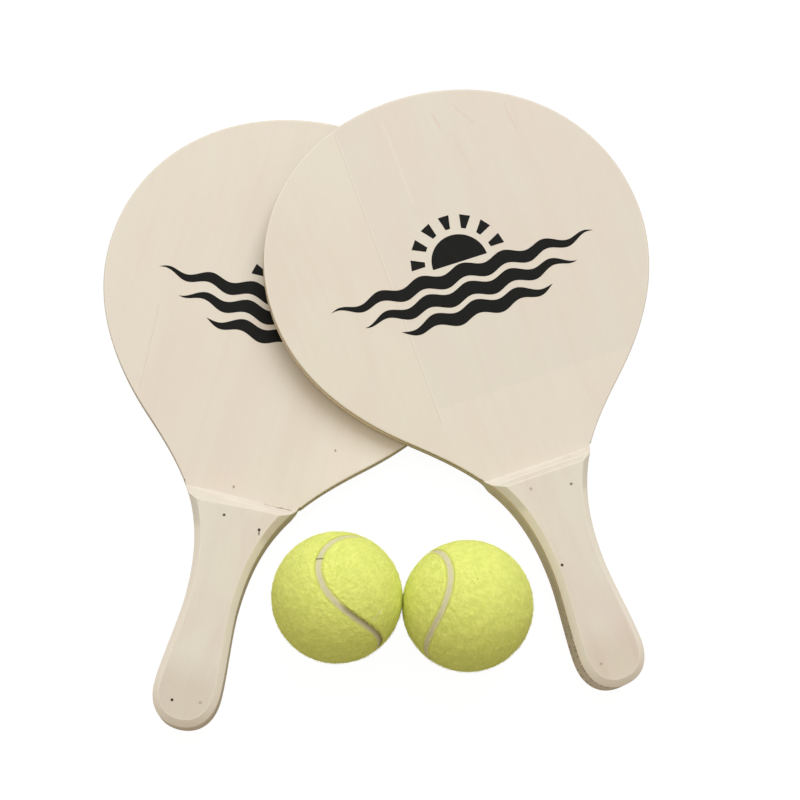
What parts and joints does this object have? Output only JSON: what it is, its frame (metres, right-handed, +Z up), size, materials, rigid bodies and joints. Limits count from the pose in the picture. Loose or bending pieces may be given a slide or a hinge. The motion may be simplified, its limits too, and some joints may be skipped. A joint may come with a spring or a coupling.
{
  "type": "beach paddle ball set",
  "caption": "Beach paddle ball set: flat round-headed plywood bats with pinned wooden grip scales, one lying across the other, and felt balls between the handles.",
  "frame": {"origin": "on the floor, under the centre of the set's bounding box", "axes": "+Z up from the floor, +Y from the handles and balls towards the bats' heads, +X to the right seen from above"},
  "size_m": [0.285, 0.3368, 0.0639],
  "materials": {
    "blade_plywood": "sanded bare pale veneer",
    "grip_wood": "sanded bare pale solid wood",
    "brad_steel": "dull dark wire",
    "print_ink": "thin screen-printed ink, slightly glossy",
    "yellow_felt": "short napped felt",
    "seam_rubber": "matt cream rubber",
    "core_rubber": "matt dark rubber"
  },
  "bodies": {
    "root": {"left_blade": "blade_plywood", "left_front_scale": "grip_wood", "left_rear_scale": "grip_wood", "left_front_brad_1": "brad_steel", "left_front_brad_2": "brad_steel", "left_front_brad_3": "brad_steel", "left_front_brad_4": "brad_steel", "left_rear_brad_1": "brad_steel", "left_rear_brad_2": "brad_steel", "left_rear_brad_3": "brad_steel", "left_rear_brad_4": "brad_steel", "left_ball_felt_upper": "yellow_felt", "left_ball_felt_lower": "yellow_felt", "left_ball_core_upper": "core_rubber", "left_ball_core_lower": "core_rubber", "left_ball_seam": "seam_rubber", "right_blade": "blade_plywood", "right_front_scale": "grip_wood", "right_rear_scale": "grip_wood", "right_front_brad_1": "brad_steel", "right_front_brad_2": "brad_steel", "right_front_brad_3": "brad_steel", "right_front_brad_4": "brad_steel", "right_rear_brad_1": "brad_steel", "right_rear_brad_2": "brad_steel", "right_rear_brad_3": "brad_steel", "right_rear_brad_4": "brad_steel", "right_ball_felt_upper": "yellow_felt", "right_ball_felt_lower": "yellow_felt", "right_ball_core_upper": "core_rubber", "right_ball_core_lower": "core_rubber", "right_ball_seam": "seam_rubber"}
  },
  "joints": []
}
